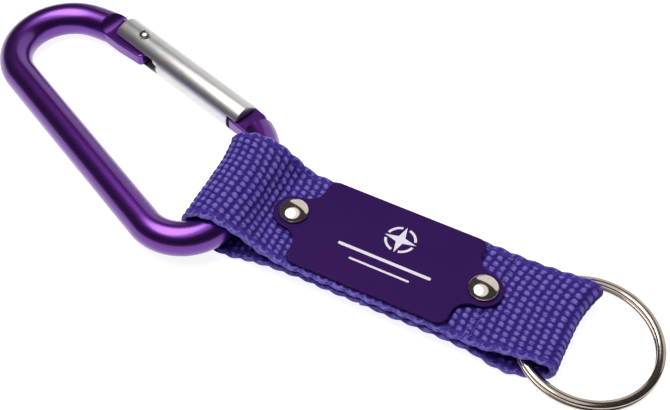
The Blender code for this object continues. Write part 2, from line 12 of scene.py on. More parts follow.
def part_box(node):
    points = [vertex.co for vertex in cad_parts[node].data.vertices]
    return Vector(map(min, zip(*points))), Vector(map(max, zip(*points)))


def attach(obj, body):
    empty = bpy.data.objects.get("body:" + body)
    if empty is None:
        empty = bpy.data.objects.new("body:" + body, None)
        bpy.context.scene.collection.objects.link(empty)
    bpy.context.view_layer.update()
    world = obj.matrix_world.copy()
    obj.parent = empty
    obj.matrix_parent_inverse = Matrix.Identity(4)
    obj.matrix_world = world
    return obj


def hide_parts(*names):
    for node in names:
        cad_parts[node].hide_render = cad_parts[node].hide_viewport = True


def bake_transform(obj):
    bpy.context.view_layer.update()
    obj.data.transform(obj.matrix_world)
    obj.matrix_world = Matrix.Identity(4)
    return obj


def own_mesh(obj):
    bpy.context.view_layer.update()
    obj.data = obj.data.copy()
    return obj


MM = 0.001
QUARTER = math.radians(90.0)
FULL = math.radians(360.0)

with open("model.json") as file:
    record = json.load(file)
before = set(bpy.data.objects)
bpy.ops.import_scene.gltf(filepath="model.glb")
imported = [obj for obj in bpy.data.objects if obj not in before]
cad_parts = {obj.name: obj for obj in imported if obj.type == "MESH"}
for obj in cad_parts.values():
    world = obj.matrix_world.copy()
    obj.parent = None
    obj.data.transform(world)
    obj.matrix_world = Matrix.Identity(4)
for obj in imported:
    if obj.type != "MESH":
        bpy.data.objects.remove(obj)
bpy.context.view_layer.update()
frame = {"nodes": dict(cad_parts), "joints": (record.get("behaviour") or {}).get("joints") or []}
JOINTS = {joint["name"]: joint for joint in frame["joints"]}


# ---------------------------------------------------------------- frames of the CAD model

def joint_place(name):
    return Vector(JOINTS[name]["pos_m"])


def joint_axis(name):
    return Vector(JOINTS[name]["axis"]).normalized()


def frame_matrix(origin, x_axis, z_axis):
    """Matrix of a frame with this origin, its z along z_axis and its x as near x_axis as can be."""
    z_axis = z_axis.normalized()
    x_axis = (x_axis - z_axis * x_axis.dot(z_axis)).normalized()
    matrix = Matrix((x_axis, z_axis.cross(x_axis), z_axis)).transposed().to_4x4()
    matrix.translation = origin
    return matrix


PLATE_BOTTOM_Z = 5.0 * MM
PLATE_THICKNESS = 0.7 * MM
BAR_OFFSET = 0.75 * MM

plate_low, plate_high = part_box("plate")
STRAP_ORIGIN = Vector(((plate_low.x + plate_high.x) / 2, (plate_low.y + plate_high.y) / 2,
                       plate_low.z - PLATE_BOTTOM_Z))
STRAP_FRAME = Matrix.Translation(STRAP_ORIGIN)
GATE_FRAME = frame_matrix(joint_place("gate_hinge"), joint_axis("plunger_slide"),
                          -joint_axis("gate_hinge"))
ROD_FRAME = frame_matrix(joint_place("loop_swing"), Vector((1.0, 0.0, 0.0)),
                         -joint_axis("gate_hinge"))
ROD_FRAME.translation += ROD_FRAME.col[0].to_3d() * BAR_OFFSET
RING_FRAME = frame_matrix(joint_place("ring_turn"), Vector((1.0, 0.0, 0.0)),
                          joint_axis("ring_turn"))


# ---------------------------------------------------------------- dimensions, as in the CAD model

ROD_RADIUS = 3.0 * MM
ROD_SIDES = 64
SPINE_ANGLE = math.radians(-27.7)
SPINE_DISTANCE = 16.85 * MM
HEEL_RADIUS = 8.0 * MM
HEEL_X = -7.6 * MM
NOSE_RADIUS = 10.0 * MM
NOSE_START = math.radians(18.4)
CROWN_RADIUS = 9.7 * MM
CROWN_X = -45.3 * MM
CROWN_END = math.radians(93.0)
SHOULDER_RADIUS = 30.0 * MM
SHOULDER_END = math.radians(82.4)
COVE_RADIUS = 2.6 * MM
COVE_X = -6.6 * MM
COVE_REACH = 9.0 * MM
FLAT_EDGE = 0.3 * MM

PIN_X = -33.2 * MM
PIN_Y = 23.9 * MM
GATE_ANGLE = math.radians(-18.0)
GATE_RADIUS = 3.0 * MM
GATE_END = 27.3 * MM
GATE_START = -5.6 * MM
GATE_SLOT_END = 6.0 * MM
GATE_SLOT_FLOOR = 2.2 * MM
GATE_BORE_RADIUS = 1.6 * MM
GATE_BORE_END = 16.0 * MM
GATE_BORE_Y = -0.9 * MM
GATE_EDGE = 0.3 * MM
SLOT_HALF = 1.5 * MM
NOSE_SLOT_START = 25.0 * MM
NOSE_SLOT_PAST_END = 1.0 * MM

TANG_HALF = 1.2 * MM
TANG_TIP = 2.3 * MM
TANG_ROOT = -9.5 * MM
TANG_ROOT_LOW = -3.8 * MM
TANG_ROOT_HIGH = 0.9 * MM
TANG_LOW = -4.0 * MM
TANG_TIP_LOW = -3.6 * MM
TANG_FLAT = (-7.0 * MM, -3.4 * MM)
TANG_CORNER_RADIUS = 0.8 * MM
TANG_OUTER_RADIUS = 1.9 * MM
TONGUE_TIP = 25.3 * MM
TONGUE_SHOULDER = 29.6 * MM
TONGUE_ROOT = 32.0 * MM
TONGUE_HALF_WIDTH = 2.8 * MM
TONGUE_SHOULDER_HIGH = 2.55 * MM
TONGUE_ROOT_LOW = -3.0 * MM
TONGUE_ROOT_HIGH = 1.5 * MM
TONGUE_CORNER_RADIUS = 0.6 * MM

PIN_RADIUS = 0.75 * MM
PIN_HEAD_RADIUS = 1.1 * MM
PIN_HEAD_Z = 3.15 * MM
PIN_HEAD_HEIGHT = 0.6 * MM
SPRING_START = 8.7 * MM
SPRING_END = 15.5 * MM
SPRING_COIL_RADIUS = 1.05 * MM
SPRING_WIRE_RADIUS = 0.18 * MM
SPRING_TURNS = 6

WEB_WIDTH = 20.0 * MM
WEB_THICKNESS = 1.3 * MM

PLATE_LENGTH = 29.3 * MM
PLATE_WIDTH = 18.9 * MM
PLATE_CORNER_RADIUS = 1.6 * MM
PLATE_EDGE = 0.14 * MM
EAR_RADIUS = 3.5 * MM
EAR_FILLET_RADIUS = 3.2 * MM
RIVET_SPACING = 35.0 * MM
RIVET_HOLE_RADIUS = 1.5 * MM
RIVET_POST_RADIUS = 1.2 * MM
RIVET_CAP_RADIUS = 2.65 * MM
RIVET_CAP_HEIGHT = 1.25 * MM
RIVET_BACK_HEIGHT = 1.1 * MM
RIVET_CAP_GAP = 0.15 * MM
RIVET_CAP_RIM = 0.12 * MM
RIVET_SOCKET_SHARE = 0.55
RIVET_POST_GAP = 0.2 * MM
RIVET_BACK_Z = 2.15 * MM

RING_MEAN_RADIUS = 11.9 * MM
RING_WIRE_WIDTH = 1.5 * MM
RING_WIRE_HEIGHT = 0.85 * MM
RING_TURN_GAP = 0.15 * MM
RING_STEP_HALF_ANGLE = math.radians(22.0)
RING_STEP_PLACE = math.radians(180.0)
RING_SECTION_POWER = 0.9
RING_SECTION_POINTS = 28
RING_LENGTH_STEPS = 420


# ---------------------------------------------------------------- mesh helpers

def link(name, mesh, matrix=None):
    """A new object whose mesh is already moved to its place."""
    if matrix is not None:
        mesh.transform(matrix)
    item = bpy.data.objects.new(name, mesh)
    bpy.context.scene.collection.objects.link(item)
    return item


def mesh_from_faces(name, points, faces):
    mesh = bpy.data.meshes.new(name)
    mesh.from_pydata([tuple(point) for point in points], [], faces)
    mesh.update()
    return mesh


def finish_mesh(item, material, angle=math.radians(38.0)):
    item.data.materials.clear()
    item.data.materials.append(material)
    item.data.shade_smooth()
    item.data.set_sharp_from_angle(angle=angle)
    return item


def apply_modifiers(item):
    """Bake an object's modifiers into its mesh."""
    bpy.context.view_layer.update()
    depsgraph = bpy.context.evaluated_depsgraph_get()
    mesh = bpy.data.meshes.new_from_object(item.evaluated_get(depsgraph))
    item.modifiers.clear()
    item.data = mesh
    return item


def combine(item, other, operation):
    """Join another solid to this one, or cut it away, and delete the other."""
    modifier = item.modifiers.new(operation, "BOOLEAN")
    modifier.operation = operation
    modifier.solver = "EXACT"
    modifier.object = other
    apply_modifiers(item)
    bpy.data.objects.remove(other, do_unlink=True)


def bevel(item, width, segments=3, angle=math.radians(35.0)):
    modifier = item.modifiers.new("edges", "BEVEL")
    modifier.width = width
    modifier.segments = segments
    modifier.limit_method = "ANGLE"
    modifier.angle_limit = angle
    apply_modifiers(item)


def arc(centre, radius, start, end, steps):
    """Points of an arc, both ends included, with angles in radians."""
    points = []
    for step in range(steps + 1):
        angle = start + (end - start) * step / steps
        points.append((centre[0] + radius * math.cos(angle),
                       centre[1] + radius * math.sin(angle)))
    return points


def prism(name, outline, low, high, matrix=None, holes=()):
    """A flat outline in XY, with its holes, extruded from z = low to z = high."""
    work = bmesh.new()
    edges = []
    for loop in (outline, *holes):
        corners = [work.verts.new((x, y, low)) for x, y in loop]
        for first, second in zip(corners, corners[1:] + corners[:1]):
            edges.append(work.edges.new((first, second)))
    if holes:
        bmesh.ops.triangle_fill(work, edges=edges, use_beauty=True)
        bmesh.ops.dissolve_limit(work, angle_limit=0.01, verts=work.verts, edges=work.edges)
    else:
        work.faces.new(list(work.verts))
    extruded = bmesh.ops.extrude_face_region(work, geom=work.faces[:])
    moved = [part for part in extruded["geom"] if isinstance(part, bmesh.types.BMVert)]
    bmesh.ops.translate(work, verts=moved, vec=(0.0, 0.0, high - low))
    bmesh.ops.recalc_face_normals(work, faces=work.faces)
    mesh = bpy.data.meshes.new(name)
    work.to_mesh(mesh)
    work.free()
    return link(name, mesh, matrix)


def block(name, low, high):
    outline = [(low[0], low[1]), (high[0], low[1]), (high[0], high[1]), (low[0], high[1])]
    return prism(name, outline, low[2], high[2])


def turned(name, profile, matrix=None, steps=64):
    """A solid of revolution about Z from (radius, z) points that run from top to bottom."""
    points = []
    rows = []
    for radius, z in profile:
        if radius < 1e-9:
            rows.append([len(points)] * steps)
            points.append((0.0, 0.0, z))
            continue
        rows.append([len(points) + step for step in range(steps)])
        for step in range(steps):
            angle = FULL * step / steps
            points.append((radius * math.cos(angle), radius * math.sin(angle), z))
    faces = []
    for upper, lower in zip(rows, rows[1:]):
        for step in range(steps):
            after = (step + 1) % steps
            corners = [upper[step], lower[step], lower[after], upper[after]]
            corners = [c for place, c in enumerate(corners) if c not in corners[:place]]
            if len(corners) > 2:
                faces.append(corners)
    return link(name, mesh_from_faces(name, points, faces), matrix)


def cylinder_x(name, radius, start, end, matrix):
    """A plain cylinder along X, moved by matrix, for cutting with."""
    item = turned(name, [(0.0, end), (radius, end), (radius, start), (0.0, start)])
    item.data.transform(Matrix.Rotation(QUARTER, 4, "Y"))
    item.data.transform(matrix)
    return item


def swept(name, centres, section, across_of, up_of, matrix=None):
    """A closed section of (across, up) points swept along centres."""
    points = []
    faces = []
    count = len(section)
    for centre, across, up in zip(centres, across_of, up_of):
        for offset_across, offset_up in section:
            points.append(centre + across * offset_across + up * offset_up)
    for row in range(len(centres) - 1):
        for side in range(count):
            after = (side + 1) % count
            faces.append((row * count + side, row * count + after,
                          (row + 1) * count + after, (row + 1) * count + side))
    faces.append(tuple(reversed(range(count))))
    last = (len(centres) - 1) * count
    faces.append(tuple(range(last, last + count)))
    mesh = mesh_from_faces(name, points, faces)
    work = bmesh.new()
    work.from_mesh(mesh)
    bmesh.ops.recalc_face_normals(work, faces=work.faces)
    work.to_mesh(mesh)
    work.free()
    return link(name, mesh, matrix)


def tangents_of(points):
    """Unit tangents along a list of vectors."""
    result = []
    for place in range(len(points)):
        before = points[max(place - 1, 0)]
        after = points[min(place + 1, len(points) - 1)]
        result.append((after - before).normalized())
    return result


# ---------------------------------------------------------------- material helpers

def new_material(name, colour, roughness, metallic, **sockets):
    material = bpy.data.materials.new(name)
    material.use_nodes = True
    shader = material.node_tree.nodes["Principled BSDF"]
    shader.inputs["Base Color"].default_value = (*colour, 1.0)
    shader.inputs["Roughness"].default_value = roughness
    shader.inputs["Metallic"].default_value = metallic
    for socket, value in sockets.items():
        shader.inputs[socket.replace("_", " ")].default_value = value
    return material


def add_node(material, kind, **values):
    node = material.node_tree.nodes.new(kind)
    for name, value in values.items():
        setattr(node, name, value)
    return node


def connect(material, source, target):
    material.node_tree.links.new(source, target)


def object_place(material, scale=(1.0, 1.0, 1.0)):
    """Object coordinates in metres, stretched by scale."""
    place = add_node(material, "ShaderNodeTexCoord")
    mapping = add_node(material, "ShaderNodeMapping")
    mapping.inputs["Scale"].default_value = scale
    connect(material, place.outputs["Object"], mapping.inputs["Vector"])
    return mapping.outputs["Vector"]


def noise(material, vector, scale, detail=3.0, roughness=0.5):
    node = add_node(material, "ShaderNodeTexNoise")
    node.inputs["Scale"].default_value = scale
    node.inputs["Detail"].default_value = detail
    node.inputs["Roughness"].default_value = roughness
    connect(material, vector, node.inputs["Vector"])
    return node.outputs["Fac"]


def ramp(material, factor, stops):
    """A colour ramp. stops are (position, colour) or (position, grey value)."""
    node = add_node(material, "ShaderNodeValToRGB")
    elements = node.color_ramp.elements
    while len(elements) < len(stops):
        elements.new(0.5)
    for element, (position, colour) in zip(elements, stops):
        element.position = position
        if not hasattr(colour, "__len__"):
            colour = (colour, colour, colour)
        element.color = (*colour, 1.0)
    connect(material, factor, node.inputs["Fac"])
    return node.outputs["Color"]


def add_bump(material, height, strength, distance):
    shader = material.node_tree.nodes["Principled BSDF"]
    node = add_node(material, "ShaderNodeBump")
    node.inputs["Strength"].default_value = strength
    node.inputs["Distance"].default_value = distance
    connect(material, height, node.inputs["Height"])
    connect(material, node.outputs["Normal"], shader.inputs["Normal"])


def set_input(material, socket, source):
    connect(material, source, material.node_tree.nodes["Principled BSDF"].inputs[socket])


# ---------------------------------------------------------------- materials

def anodised_purple():
    material = new_material("anodised_purple", (0.118, 0.0155, 0.292), 0.30, 1.0,
                            Coat_Weight=0.6, Coat_Roughness=0.2, Coat_IOR=1.7)
    place = object_place(material)
    cloud = noise(material, place, 180.0, 3.0)
    set_input(material, "Base Color", ramp(material, cloud, [
        (0.3, (0.112, 0.0145, 0.278)), (0.7, (0.124, 0.0165, 0.306))]))
    wear = noise(material, place, 400.0, 2.0)
    set_input(material, "Roughness", ramp(material, wear, [(0.3, 0.30), (0.7, 0.32)]))
    return material


def satin_aluminium():
    material = new_material("satin_aluminium", (0.66, 0.67, 0.70), 0.36, 1.0)
    place = object_place(material)
    cloud = noise(material, place, 260.0, 3.0)
    set_input(material, "Base Color", ramp(material, cloud, [
        (0.3, (0.63, 0.64, 0.67)), (0.7, (0.69, 0.70, 0.73))]))
    fine = noise(material, place, 1500.0, 4.0, 0.6)
    set_input(material, "Roughness", ramp(material, fine, [(0.25, 0.35), (0.8, 0.41)]))
    return material


def plain_steel(name, colour, low, high):
    material = new_material(name, colour, low, 1.0)
    place = object_place(material)
    fine = noise(material, place, 2500.0, 4.0, 0.6)
    set_input(material, "Roughness", ramp(material, fine, [(0.3, low), (0.8, high)]))
    cloud = noise(material, place, 500.0, 2.0)
    darker = tuple(0.86 * part for part in colour)
    set_input(material, "Base Color", ramp(material, cloud, [(0.3, darker), (0.7, colour)]))
    add_bump(material, noise(material, place, 4000.0, 2.0), 0.04, 0.02 * MM)
    return material


# How much the filaments, and the crowns' height as painted light and shade, each add to the place on
# the colour ramp
STRAND_SHARE = 0.9
CROWN_PAINTED_LIGHT_SHARE = 0.6


def webbing_material(name, painted_valley_shade, middle, light):
    material = new_material(name, middle, 0.6, 0.0, Sheen_Weight=0.12, Sheen_Roughness=0.4,
                            Sheen_Tint=(0.45, 0.35, 1.0, 1.0), Specular_IOR_Level=0.12)
    # The weave's height sets the colour: crowns painted light as highlights, valleys painted dark as
    # shade; the filaments add a tone that differs at random.
    crown_height_and_painted_shade = add_node(material, "ShaderNodeAttribute")
    crown_height_and_painted_shade.attribute_name = "crown_height_and_painted_shade"
    filaments = noise(material, object_place(material, (1.0, 3.0, 1.0)), 1500.0, 3.0, 0.6)
    strands = add_node(material, "ShaderNodeMath", operation="MULTIPLY")
    connect(material, filaments, strands.inputs[0])
    strands.inputs[1].default_value = STRAND_SHARE
    mixed = add_node(material, "ShaderNodeMath", operation="MULTIPLY_ADD")
    connect(material, crown_height_and_painted_shade.outputs["Fac"], mixed.inputs[0])
    mixed.inputs[1].default_value = CROWN_PAINTED_LIGHT_SHARE
    connect(material, strands.outputs["Value"], mixed.inputs[2])
    # Ramp from painted valley shade through the middle colour to a painted crown highlight.
    set_input(material, "Base Color", ramp(material, mixed.outputs["Value"], [
        (0.45, painted_valley_shade), (0.76, middle), (1.0, light)]))
    add_bump(material, filaments, 0.35, 0.05 * MM)
    return material


def thread_material():
    material = new_material("sewing_thread", (0.10, 0.066, 0.40), 0.5, 0.0, Specular_IOR_Level=0.15)
    place = object_place(material)
    twist = noise(material, place, 3500.0, 2.0)
    set_input(material, "Base Color", ramp(material, twist, [
        (0.3, (0.07, 0.042, 0.32)), (0.7, (0.13, 0.09, 0.46))]))
    add_bump(material, twist, 0.4, 0.04 * MM)
    return material


def plate_material():
    material = new_material("anodised_plate", (0.032, 0.0088, 0.097), 0.4, 0.25,
                            Specular_IOR_Level=0.03)
    place = object_place(material)
    cloud = noise(material, place, 90.0, 2.0)
    set_input(material, "Base Color", ramp(material, cloud, [
        (0.3, (0.030, 0.0082, 0.091)), (0.7, (0.034, 0.0094, 0.103))]))
    grain = noise(material, object_place(material, (1.0, 9.0, 1.0)), 1400.0, 4.0, 0.7)
    set_input(material, "Roughness", ramp(material, grain, [(0.25, 0.34), (0.8, 0.46)]))
    return material


def print_material():
    material = new_material("white_print", (0.76, 0.76, 0.92), 0.45, 0.0, Specular_IOR_Level=0.2)
    place = object_place(material)
    ink = noise(material, place, 2400.0, 3.0)
    set_input(material, "Base Color", ramp(material, ink, [
        (0.3, (0.72, 0.71, 0.88)), (0.6, (0.80, 0.80, 0.95))]))
    return material


MATERIALS = {
    "body": anodised_purple(),
    "gate": satin_aluminium(),
    "pin": plain_steel("pin_steel", (0.55, 0.54, 0.53), 0.16, 0.3),
    # The plunger's steel is painted lighter than it is, standing in for light that hardly reaches it
    # deep in the gate's slot.
    "plunger": new_material("plunger_steel", (0.80, 0.75, 0.68), 0.4, 0.35),
    "spring": plain_steel("spring_steel", (0.35, 0.35, 0.36), 0.25, 0.4),
    "rivet": plain_steel("nickel_rivet", (0.72, 0.67, 0.61), 0.08, 0.13),
    "ring": plain_steel("nickel_ring", (0.50, 0.44, 0.395), 0.10, 0.16),
    # The webbing's colours: painted shade for the valleys, a middle colour, and a painted highlight
    # for the crowns.
    "web": webbing_material("purple_webbing", (0.022, 0.0105, 0.16), (0.052, 0.029, 0.30),
                            (0.19, 0.145, 0.56)),
    "thread": thread_material(),
    "plate": plate_material(),
    "print": print_material(),
}


# ---------------------------------------------------------------- carabiner body

def rod_centre_line(steps=40):
    """Centre line of the bent rod, from the nose round the heel and the crown to the hinge."""
    spine_normal = (-math.sin(SPINE_ANGLE), math.cos(SPINE_ANGLE))
    gate_normal = (-math.sin(GATE_ANGLE), math.cos(GATE_ANGLE))
    nose_x = -NOSE_RADIUS
    nose_y = PIN_Y - (NOSE_RADIUS + gate_normal[0] * (nose_x - PIN_X)) / gate_normal[1]
    heel_y = (HEEL_RADIUS - SPINE_DISTANCE - spine_normal[0] * HEEL_X) / spine_normal[1]
    crown_y = (CROWN_RADIUS - SPINE_DISTANCE - spine_normal[0] * CROWN_X) / spine_normal[1]
    nose = arc((nose_x, nose_y), NOSE_RADIUS, GATE_ANGLE + QUARTER - NOSE_START, 0.0, steps)
    heel = arc((HEEL_X, heel_y), HEEL_RADIUS, 0.0, SPINE_ANGLE - QUARTER, steps)
    crown_height_and_painted_shade = arc((CROWN_X, crown_y), CROWN_RADIUS, SPINE_ANGLE + 3 * QUARTER, CROWN_END,
                2 * steps)
    offset = CROWN_RADIUS - SHOULDER_RADIUS
    shoulder_centre = (CROWN_X + offset * math.cos(CROWN_END),
                       crown_y + offset * math.sin(CROWN_END))
    shoulder = arc(shoulder_centre, SHOULDER_RADIUS, CROWN_END, SHOULDER_END, steps // 3)
    return nose + heel + crown_height_and_painted_shade + shoulder[1:]


def tang_outline():
    """Flat hinge tang, along the gate's axis, with the pin at the origin."""
    low = [(TANG_ROOT, TANG_ROOT_LOW), (TANG_FLAT[0], TANG_LOW), (TANG_FLAT[1], TANG_LOW)]
    tip = arc((TANG_TIP - TANG_CORNER_RADIUS, TANG_TIP_LOW + TANG_CORNER_RADIUS),
              TANG_CORNER_RADIUS, math.radians(-80.0), 0.0, 12)
    nose = arc((0.0, 0.0), TANG_TIP, math.radians(-15.0), math.radians(25.0), 10)
    outer = arc((0.0, 0.0), TANG_OUTER_RADIUS, math.radians(50.0), QUARTER, 10)
    return low + tip + nose + outer + [(TANG_ROOT, TANG_ROOT_HIGH)]


def tongue_outline():
    """Flat nose tongue, along the gate's axis, that the gate's end slot straddles."""
    centre_x = TONGUE_TIP + TONGUE_CORNER_RADIUS
    centre_y = TONGUE_HALF_WIDTH - TONGUE_CORNER_RADIUS
    high = arc((centre_x, centre_y), TONGUE_CORNER_RADIUS, QUARTER, 2 * QUARTER, 10)
    low = arc((centre_x, -centre_y), TONGUE_CORNER_RADIUS, 2 * QUARTER, 3 * QUARTER, 10)
    root = [(TONGUE_ROOT, TONGUE_ROOT_LOW), (TONGUE_ROOT, TONGUE_ROOT_HIGH)]
    return high + low + root + [(TONGUE_SHOULDER, TONGUE_SHOULDER_HIGH)]


def make_carabiner_body():
    """The bent rod, hollowed by a cove on each side of its tang, with the tang and the tongue."""
    line = [Vector((x, y, 0.0)) for x, y in rod_centre_line()]
    up = Vector((0.0, 0.0, 1.0))
    across = [tangent.cross(up) for tangent in tangents_of(line)]
    section = [(ROD_RADIUS * math.cos(FULL * side / ROD_SIDES),
                ROD_RADIUS * math.sin(FULL * side / ROD_SIDES)) for side in range(ROD_SIDES)]
    body = swept("carabiner_body_skin", line, section, across, [up] * len(line), ROD_FRAME)
    for side in (-1, 1):
        cove = turned("cove", [(0.0, COVE_REACH), (COVE_RADIUS, COVE_REACH),
                               (COVE_RADIUS, -COVE_REACH), (0.0, -COVE_REACH)])
        cove.data.transform(Matrix.Rotation(QUARTER, 4, "X"))
        cove_z = side * (TANG_HALF + COVE_RADIUS)
        cove.data.transform(Matrix.Translation((COVE_X, 0.0, cove_z)))
        cove.data.transform(GATE_FRAME)
        combine(body, cove, "DIFFERENCE")
    tang = prism("tang", tang_outline(), -TANG_HALF, TANG_HALF, GATE_FRAME)
    tongue = prism("tongue", tongue_outline(), -TANG_HALF, TANG_HALF, GATE_FRAME)
    for flat in (tang, tongue):
        bevel(flat, FLAT_EDGE, angle=math.radians(50.0))
    combine(body, tang, "UNION")
    combine(body, tongue, "UNION")
    finish_mesh(body, MATERIALS["body"], math.radians(14.0))
    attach(body, "carabiner")
    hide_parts("carabiner_body")


# ---------------------------------------------------------------- gate, pin and spring

def make_gate():
    """A round bar with rounded end edges, slotted at both ends and bored for the spring."""
    shoulder = GATE_RADIUS - GATE_EDGE
    profile = [(0.0, GATE_END)]
    profile += [(shoulder + radius, GATE_END - GATE_EDGE + z)
                for radius, z in arc((0.0, 0.0), GATE_EDGE, QUARTER, 0.0, 5)]
    profile += [(shoulder + radius, GATE_START + GATE_EDGE + z)
                for radius, z in arc((0.0, 0.0), GATE_EDGE, 0.0, -QUARTER, 5)]
    profile += [(0.0, GATE_START)]
    gate = turned("gate_skin", profile, Matrix.Rotation(QUARTER, 4, "Y"), 96)
    reach = 2 * GATE_RADIUS
    cutters = [
        block("hinge_slot", (GATE_START - reach, -reach, -SLOT_HALF),
              (GATE_SLOT_END, GATE_SLOT_FLOOR, SLOT_HALF)),
        cylinder_x("bore", GATE_BORE_RADIUS, GATE_SLOT_END - GATE_BORE_RADIUS, GATE_BORE_END,
                   Matrix.Translation((0.0, GATE_BORE_Y, 0.0))),
        block("nose_slot", (NOSE_SLOT_START, -reach, -SLOT_HALF),
              (GATE_END + NOSE_SLOT_PAST_END, reach, SLOT_HALF)),
    ]
    for cutter in cutters:
        combine(gate, cutter, "DIFFERENCE")
    gate.data.transform(GATE_FRAME)
    finish_mesh(gate, MATERIALS["gate"], math.radians(30.0))
    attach(gate, "gate")
    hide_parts("gate")


def dome(radius, base_z, height, steps=14):
    """(radius, z) points of a shallow dome, from its top to its rim."""
    points = []
    for step in range(steps + 1):
        angle = QUARTER * (1 - step / steps)
        points.append((radius * math.cos(angle), base_z + height * math.sin(angle)))
    points[0] = (0.0, base_z + height)
    return points


def make_gate_pin():
    head = dome(PIN_HEAD_RADIUS, PIN_HEAD_Z, PIN_HEAD_HEIGHT)
    shaft = [(PIN_RADIUS, PIN_HEAD_Z), (PIN_RADIUS, -PIN_HEAD_Z)]
    foot = [(radius, -z) for radius, z in reversed(head)]
    pin = turned("gate_pin_skin", head + shaft + foot, GATE_FRAME, 48)
    finish_mesh(pin, MATERIALS["pin"])
    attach(pin, "carabiner")
    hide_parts("gate_pin")


def make_spring():
    """The gate's coil spring, which the plunger squeezes."""
    per_turn = 32
    count = SPRING_TURNS * per_turn
    centres = []
    for step in range(count + 1):
        angle = FULL * step / per_turn
        along = SPRING_START + (SPRING_END - SPRING_START) * step / count
        centres.append(Vector((along, SPRING_COIL_RADIUS * math.cos(angle),
                               SPRING_COIL_RADIUS * math.sin(angle))))
    outward = [Vector((0.0, centre.y, centre.z)).normalized() for centre in centres]
    binormal = [tangent.cross(out) for tangent, out in zip(tangents_of(centres), outward)]
    section = arc((0.0, 0.0), SPRING_WIRE_RADIUS, 0.0, FULL, 12)[:-1]
    spring = swept("gate_spring_wire", centres, section, outward, binormal,
                   GATE_FRAME @ Matrix.Translation((0.0, GATE_BORE_Y, 0.0)))
    finish_mesh(spring, MATERIALS["spring"])
    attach(spring, "gate")
    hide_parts("gate_spring")
    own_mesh(spring)


# ---------------------------------------------------------------- webbing

PICK = 1.45 * MM
YARNS = 15
YARN = WEB_WIDTH / YARNS
YARN_SAMPLES = 9
PICK_SAMPLES = 9
RELIEF = 0.30 * MM
CROWN_LENGTH = 0.64 * MM
CROWN_WIDTH = 0.67 * MM
CROWN_SQUARENESS = 2.5
CROWN_ROUNDNESS = 0.65
CROWN_SLANT = 0.22
CROWN_VARIATION = 0.13
SHADE_POWER = 1.2
JITTER = 0.12 * MM
WAVE = 0.06 * MM

SELVEDGE = 1.3 * MM
SELVEDGE_BLEND = 0.25 * MM
LOOP_PITCH = 2 * PICK
LOOP_STRETCH = 1.45
LOOP_FROM_EDGE = 0.72 * MM
LOOP_RADIUS = 0.52 * MM
LOOP_WIDTH = 0.2 * MM
LOOP_FADE_FROM = 0.5 * MM
LOOP_FADE_LENGTH = 0.8 * MM
LOOP_STRENGTH = 0.3
LOOP_STRENGTH_SPREAD = 0.3
BETWEEN_LOOPS = 0.34
RIM_WIDTH = 0.6 * MM
RIM_HEIGHT = 0.4
SELVEDGE_BASE = 0.28
SCALLOP = 0.32 * MM
EDGE_WAVE = 0.12 * MM
EDGE_ROUND = 0.7 * MM

# Where the near edge starts to draw in, by distance from the plate's middle, and over what length
TOP_NARROWING = (20.0 * MM, 9.0 * MM)
LOWER_NARROWING = (26.5 * MM, 4.5 * MM)
RING_END_NARROWING = 1.4 * MM
LOWER_RUN = 1.5 * MM
UPPER_RUN = 4.5 * MM

# Middle of the webbing's thickness, seen from the side, as (x, z) in mm from the plate's middle:
# at the near edge, along the middle line and at the far edge of the strap
LEFT_NEAR = [(0, 4.2), (-7, 4.2), (-13, 4.2), (-15.8, 4.5), (-18.2, 5.5), (-21.2, 6.9),
             (-24.6, 8.1), (-27.8, 8.7), (-30.6, 8.1), (-32.6, 6.6), (-33.2, 4.6), (-32.3, 2.5),
             (-30, 1), (-26.8, 0.7), (-24.1, 0.95), (-21.3, 1.6), (-18.6, 2.4), (-13, 2.9),
             (-7, 2.9), (0, 2.9)]
LEFT_MIDDLE = [(0, 4.2), (-7, 4.2), (-13, 4.2), (-18, 4.2), (-21, 4.3), (-22.8, 5.4),
               (-24.8, 7.5), (-27.6, 8.85), (-30.6, 8.2), (-32.7, 6.6), (-33.2, 4.6),
               (-32.4, 2.5), (-30.1, 1), (-27, 0.7), (-24.6, 0.8), (-22.4, 1.7), (-20, 2.7),
               (-13, 2.9), (-7, 2.9), (0, 2.9)]
LEFT_FAR = [(0, 4.2), (-7, 4.2), (-13, 4.2), (-16.5, 4.3), (-19.6, 5), (-22.2, 7), (-25.2, 8.6),
            (-28.5, 8.95), (-31.4, 8.3), (-33.8, 6.8), (-34.6, 4.7), (-33.6, 2.5), (-30.8, 1),
            (-27.4, 0.7), (-24.6, 0.8), (-22, 1.5), (-19.4, 2.5), (-13, 2.9), (-7, 2.9),
            (0, 2.9)]
RIGHT_NEAR = [(0, 4.2), (7, 4.2), (13, 4.2), (18.5, 4.15), (22, 4.1), (24.6, 4.4), (27.4, 4.55),
              (30.5, 4.85), (32.6, 4.75), (33.35, 3.65), (32.8, 1.9), (30.5, 1), (28.2, 0.8),
              (25.4, 0.85), (22.8, 1.3), (20.2, 2.1), (17.5, 2.75), (13, 2.9), (7, 2.9),
              (0, 2.9)]
RIGHT_MIDDLE = [(0, 4.2), (7, 4.2), (13, 4.2), (18.5, 4.2), (21.6, 4.25), (23.9, 4.65),
                (26.8, 4.7), (29.9, 4.9), (32, 4.8), (33, 3.85), (32.5, 1.95), (30.4, 0.85),
                (28, 0.7), (25.2, 0.7), (22.8, 1.1), (20.6, 2.2), (17.8, 2.85), (13, 2.9),
                (7, 2.9), (0, 2.9)]
RIGHT_FAR = [(0, 4.2), (7, 4.2), (13, 4.2), (18.5, 4.2), (22, 4.15), (24.8, 4.3), (27.8, 4.45),
             (31.3, 5.1), (33.9, 5.25), (34.8, 3.95), (34.1, 1.95), (31.4, 0.95), (28.6, 0.75),
             (25.6, 0.8), (22.9, 1.3), (20.3, 2.2), (17.5, 2.8), (13, 2.9), (7, 2.9), (0, 2.9)]
EDGE_POWER = 2.2


